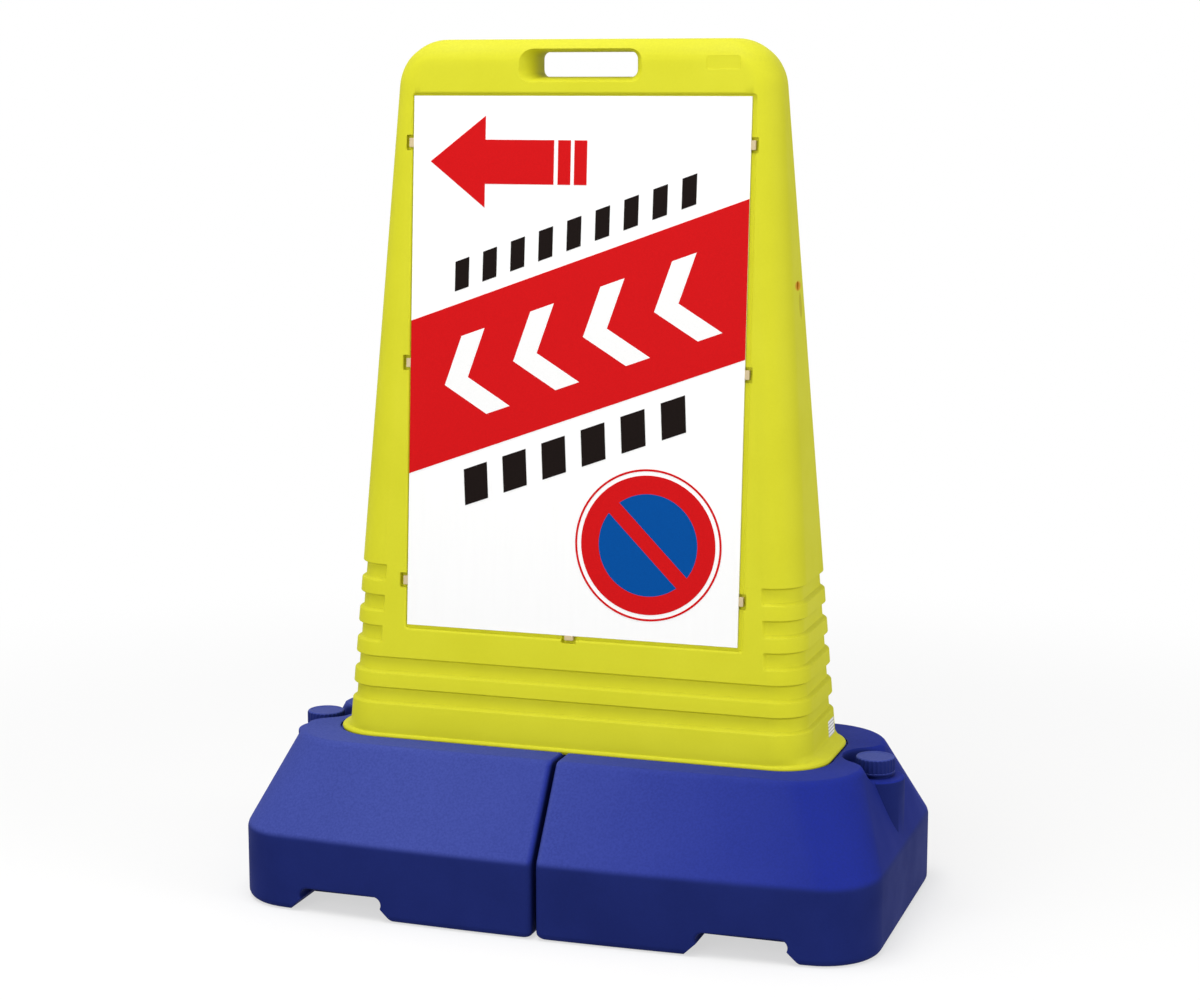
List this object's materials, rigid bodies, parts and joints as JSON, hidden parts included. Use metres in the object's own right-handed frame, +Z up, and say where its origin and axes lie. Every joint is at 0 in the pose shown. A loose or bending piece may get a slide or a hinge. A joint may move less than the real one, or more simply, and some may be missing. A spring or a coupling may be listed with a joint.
{
  "type": "freestanding sign",
  "caption": "Freestanding pavement sign: a hollow moulded tower with a message panel on both faces, on a split ballast base with screw-cap fillers.",
  "frame": {"origin": "on the floor, under the middle of the sign", "axes": "+Z up, the front message panel faces -Y, +X to the right of somebody who looks at the front"},
  "size_m": [0.68, 0.372, 0.89],
  "materials": {
    "yellow_plastic": "satin",
    "blue_plastic": "satin",
    "white_sheet": "satin",
    "white_film": "satin",
    "red_film": "satin",
    "black_film": "satin",
    "blue_film": "satin",
    "clip_plastic": "matte",
    "seal_rubber": "matte"
  },
  "bodies": {
    "tower": {"tower_shell": "yellow_plastic", "side_label": "white_film"},
    "front_face": {"front_panel": "white_sheet", "front_clips": "clip_plastic", "front_arrow": "red_film", "front_band": "red_film", "front_chevrons": "white_film", "front_dashes": "black_film", "front_ring": "red_film", "front_disc": "blue_film"},
    "back_face": {"back_panel": "white_sheet", "back_clips": "clip_plastic", "back_arrow": "red_film", "back_band": "red_film", "back_chevrons": "white_film", "back_dashes": "black_film", "back_ring": "red_film", "back_disc": "blue_film"},
    "left_base": {"left_tank": "blue_plastic"},
    "left_gasket": {"left_seal": "seal_rubber"},
    "left_lid": {"left_cap": "blue_plastic"},
    "right_base": {"right_tank": "blue_plastic"},
    "right_gasket": {"right_seal": "seal_rubber"},
    "right_lid": {"right_cap": "blue_plastic"}
  },
  "joints": [
    {"name": "front_face_out", "type": "slide", "parent": "tower", "child": "front_face", "axis": [0, -0.9976, 0.0694], "range_m": [0, 0.06]},
    {"name": "back_face_out", "type": "slide", "parent": "tower", "child": "back_face", "axis": [0, 0.9976, 0.0694], "range_m": [0, 0.06]},
    {"name": "left_base_out", "type": "slide", "parent": "tower", "child": "left_base", "axis": [-1, 0, 0], "range_m": [0, 0.3]},
    {"name": "right_base_out", "type": "slide", "parent": "tower", "child": "right_base", "axis": [1, 0, 0], "range_m": [0, 0.3]},
    {"name": "left_cap_lift", "type": "slide", "parent": "left_base", "child": "left_gasket", "axis": [0, 0, 1], "range_m": [0, 0.0211]},
    {"name": "left_cap_turn", "type": "hinge", "parent": "left_gasket", "child": "left_lid", "pos_m": [-0.306, 0, 0.1655], "axis": [0, 0, 1], "range_deg": [0, 1080]},
    {"name": "right_cap_lift", "type": "slide", "parent": "right_base", "child": "right_gasket", "axis": [0, 0, 1], "range_m": [0, 0.0211]},
    {"name": "right_cap_turn", "type": "hinge", "parent": "right_gasket", "child": "right_lid", "pos_m": [0.306, 0, 0.1655], "axis": [0, 0, 1], "range_deg": [0, 1080]}
  ],
  "couplings": [
    {"joint": "left_cap_lift", "follows": "left_cap_turn", "m_per_rad": 0.0011141},
    {"joint": "right_cap_lift", "follows": "right_cap_turn", "m_per_rad": 0.0011141}
  ]
}
